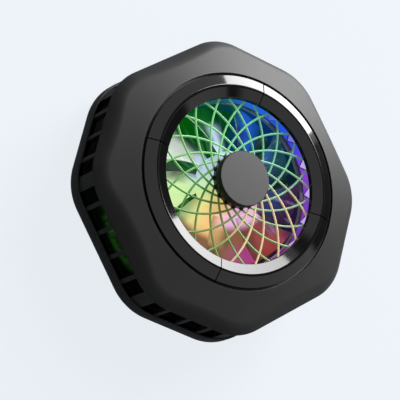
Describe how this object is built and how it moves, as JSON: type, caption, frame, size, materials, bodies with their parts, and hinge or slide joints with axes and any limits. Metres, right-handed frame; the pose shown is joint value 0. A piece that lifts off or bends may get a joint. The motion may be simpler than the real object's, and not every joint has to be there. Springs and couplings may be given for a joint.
{
  "type": "phone cooling fan",
  "caption": "Octagonal magnetic phone cooler: bevelled black housing with side vents, segmented trim ring, wire guard over a lit axial fan, heat sink and thermoelectric cold plate.",
  "frame": {"origin": "middle of the cold contact face on the back, where the cooler lies on the phone", "axes": "+Z along the fan's axis, out of the front; +Y towards the power socket"},
  "size_m": [0.07, 0.07, 0.0256],
  "materials": {
    "housing_plastic": "fine matte moulded black plastic",
    "frame_plastic": "black moulded plastic",
    "trim_gloss": "glossy gunmetal plating",
    "guide_plastic": "milky light guide, lit from behind",
    "guard_plastic": "clear tinted wires lit by the ring",
    "cap_plastic": "matte grey face",
    "light_board": "white solder mask",
    "led_package": "white package with a clear window",
    "fan_plastic": "frosted clear plastic",
    "bronze": "sintered bronze",
    "core_steel": "stamped steel",
    "copper_winding": "enamelled copper wire",
    "circuit_board": "green solder mask",
    "ferrite": "bonded ferrite",
    "shaft_steel": "ground steel",
    "sink_aluminium": "bare die-cast aluminium",
    "thermal_pad": "soft grey silicone",
    "ceramic": "white alumina",
    "semiconductor": "grey sintered pellets",
    "plate_aluminium": "fine turned aluminium",
    "foam": "closed-cell foam",
    "magnet_nickel": "nickel plating",
    "silicone": "soft matte silicone",
    "chip_plastic": "black moulding compound",
    "socket_steel": "plated steel",
    "screw_black": "black oxide",
    "screw_zinc": "zinc plated",
    "lead_red": "red insulation",
    "lead_black": "black insulation"
  },
  "bodies": {
    "housing": {"rear_base": "housing_plastic", "front_cover": "housing_plastic", "trim_segment_1": "trim_gloss", "trim_segment_2": "trim_gloss", "trim_segment_3": "trim_gloss", "trim_segment_4": "trim_gloss", "light_guide": "guide_plastic", "fan_guard": "guard_plastic", "hub_cap": "cap_plastic", "led_board": "light_board", "leds": "led_package", "fan_frame": "frame_plastic", "bearing_sleeve": "bronze", "stator_core": "core_steel", "stator_coils": "copper_winding", "motor_board": "circuit_board", "heat_sink": "sink_aluminium", "thermal_pad_hot": "thermal_pad", "tec_hot_ceramic": "ceramic", "tec_pellets": "semiconductor", "tec_cold_ceramic": "ceramic", "thermal_pad_cold": "thermal_pad", "cold_plate": "plate_aluminium", "foam_frame": "foam", "magnets": "magnet_nickel", "shunt_ring": "core_steel", "silicone_pad": "silicone", "control_board": "circuit_board", "board_components": "chip_plastic", "usb_shell": "socket_steel", "usb_tongue": "chip_plastic", "cover_screws": "screw_black", "sink_screws": "screw_zinc", "fan_screws": "screw_zinc", "tec_lead_red": "lead_red", "tec_lead_black": "lead_black"},
    "rotor": {"impeller": "fan_plastic", "rotor_yoke": "core_steel", "rotor_magnet": "ferrite", "shaft": "shaft_steel", "retaining_clip": "shaft_steel"}
  },
  "joints": [
    {"name": "fan_spin", "type": "hinge", "parent": "housing", "child": "rotor", "pos_m": [0, 0, 0.017], "axis": [0, 0, 1], "continuous": true}
  ]
}
